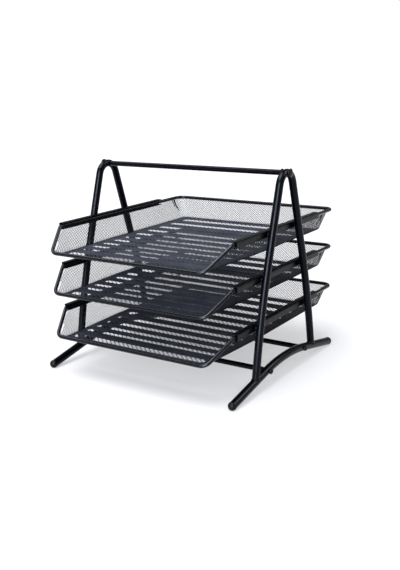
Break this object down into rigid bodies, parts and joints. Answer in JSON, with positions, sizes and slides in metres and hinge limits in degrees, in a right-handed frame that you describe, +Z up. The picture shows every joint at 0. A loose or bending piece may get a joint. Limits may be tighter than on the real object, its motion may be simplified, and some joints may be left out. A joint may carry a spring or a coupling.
{
  "type": "letter tray",
  "caption": "Tiered mesh letter tray: a tube frame with a carrying handle holds wire-rimmed mesh trays that slide out to the front.",
  "frame": {"origin": "on the floor, under the centre of the bounding box; the handle's axis is 6.9 mm in front of it", "axes": "+X along the handle, from the left frame to the right one seen from the front; +Y from the front to the back, the trays pull out towards -Y; +Z up"},
  "size_m": [0.302, 0.3252, 0.2723],
  "materials": {
    "black_steel": "satin black powder coat",
    "black_mesh": "satin black powder coat on expanded steel mesh",
    "black_oxide_steel": "black zinc",
    "black_plastic": "matte moulded"
  },
  "bodies": {
    "frame": {"left_a_frame_tube": "black_steel", "left_foot_bar": "black_steel", "front_left_foot_plug": "black_plastic", "front_left_foot_bolt": "black_oxide_steel", "rear_left_foot_plug": "black_plastic", "rear_left_foot_bolt": "black_oxide_steel", "left_handle_washer": "black_oxide_steel", "left_handle_bolt": "black_oxide_steel", "left_bottom_rail": "black_steel", "left_middle_rail": "black_steel", "left_top_rail": "black_steel", "right_a_frame_tube": "black_steel", "right_foot_bar": "black_steel", "front_right_foot_plug": "black_plastic", "front_right_foot_bolt": "black_oxide_steel", "rear_right_foot_plug": "black_plastic", "rear_right_foot_bolt": "black_oxide_steel", "right_handle_washer": "black_oxide_steel", "right_handle_bolt": "black_oxide_steel", "right_bottom_rail": "black_steel", "right_middle_rail": "black_steel", "right_top_rail": "black_steel", "handle_bar": "black_steel", "front_cross_bar": "black_steel", "rear_cross_bar": "black_steel"},
    "bottom_tray": {"bottom_tray_rim": "black_steel", "bottom_tray_mesh_basket": "black_mesh", "bottom_tray_floor_plate": "black_steel"},
    "middle_tray": {"middle_tray_rim": "black_steel", "middle_tray_mesh_basket": "black_mesh", "middle_tray_floor_plate": "black_steel"},
    "top_tray": {"top_tray_rim": "black_steel", "top_tray_mesh_basket": "black_mesh", "top_tray_floor_plate": "black_steel"}
  },
  "joints": [
    {"name": "bottom_tray_slide", "type": "slide", "parent": "frame", "child": "bottom_tray", "axis": [0, -1, 0], "range_m": [0, 0.2]},
    {"name": "middle_tray_slide", "type": "slide", "parent": "frame", "child": "middle_tray", "axis": [0, -1, 0], "range_m": [0, 0.2]},
    {"name": "top_tray_slide", "type": "slide", "parent": "frame", "child": "top_tray", "axis": [0, -1, 0], "range_m": [0, 0.2]}
  ]
}
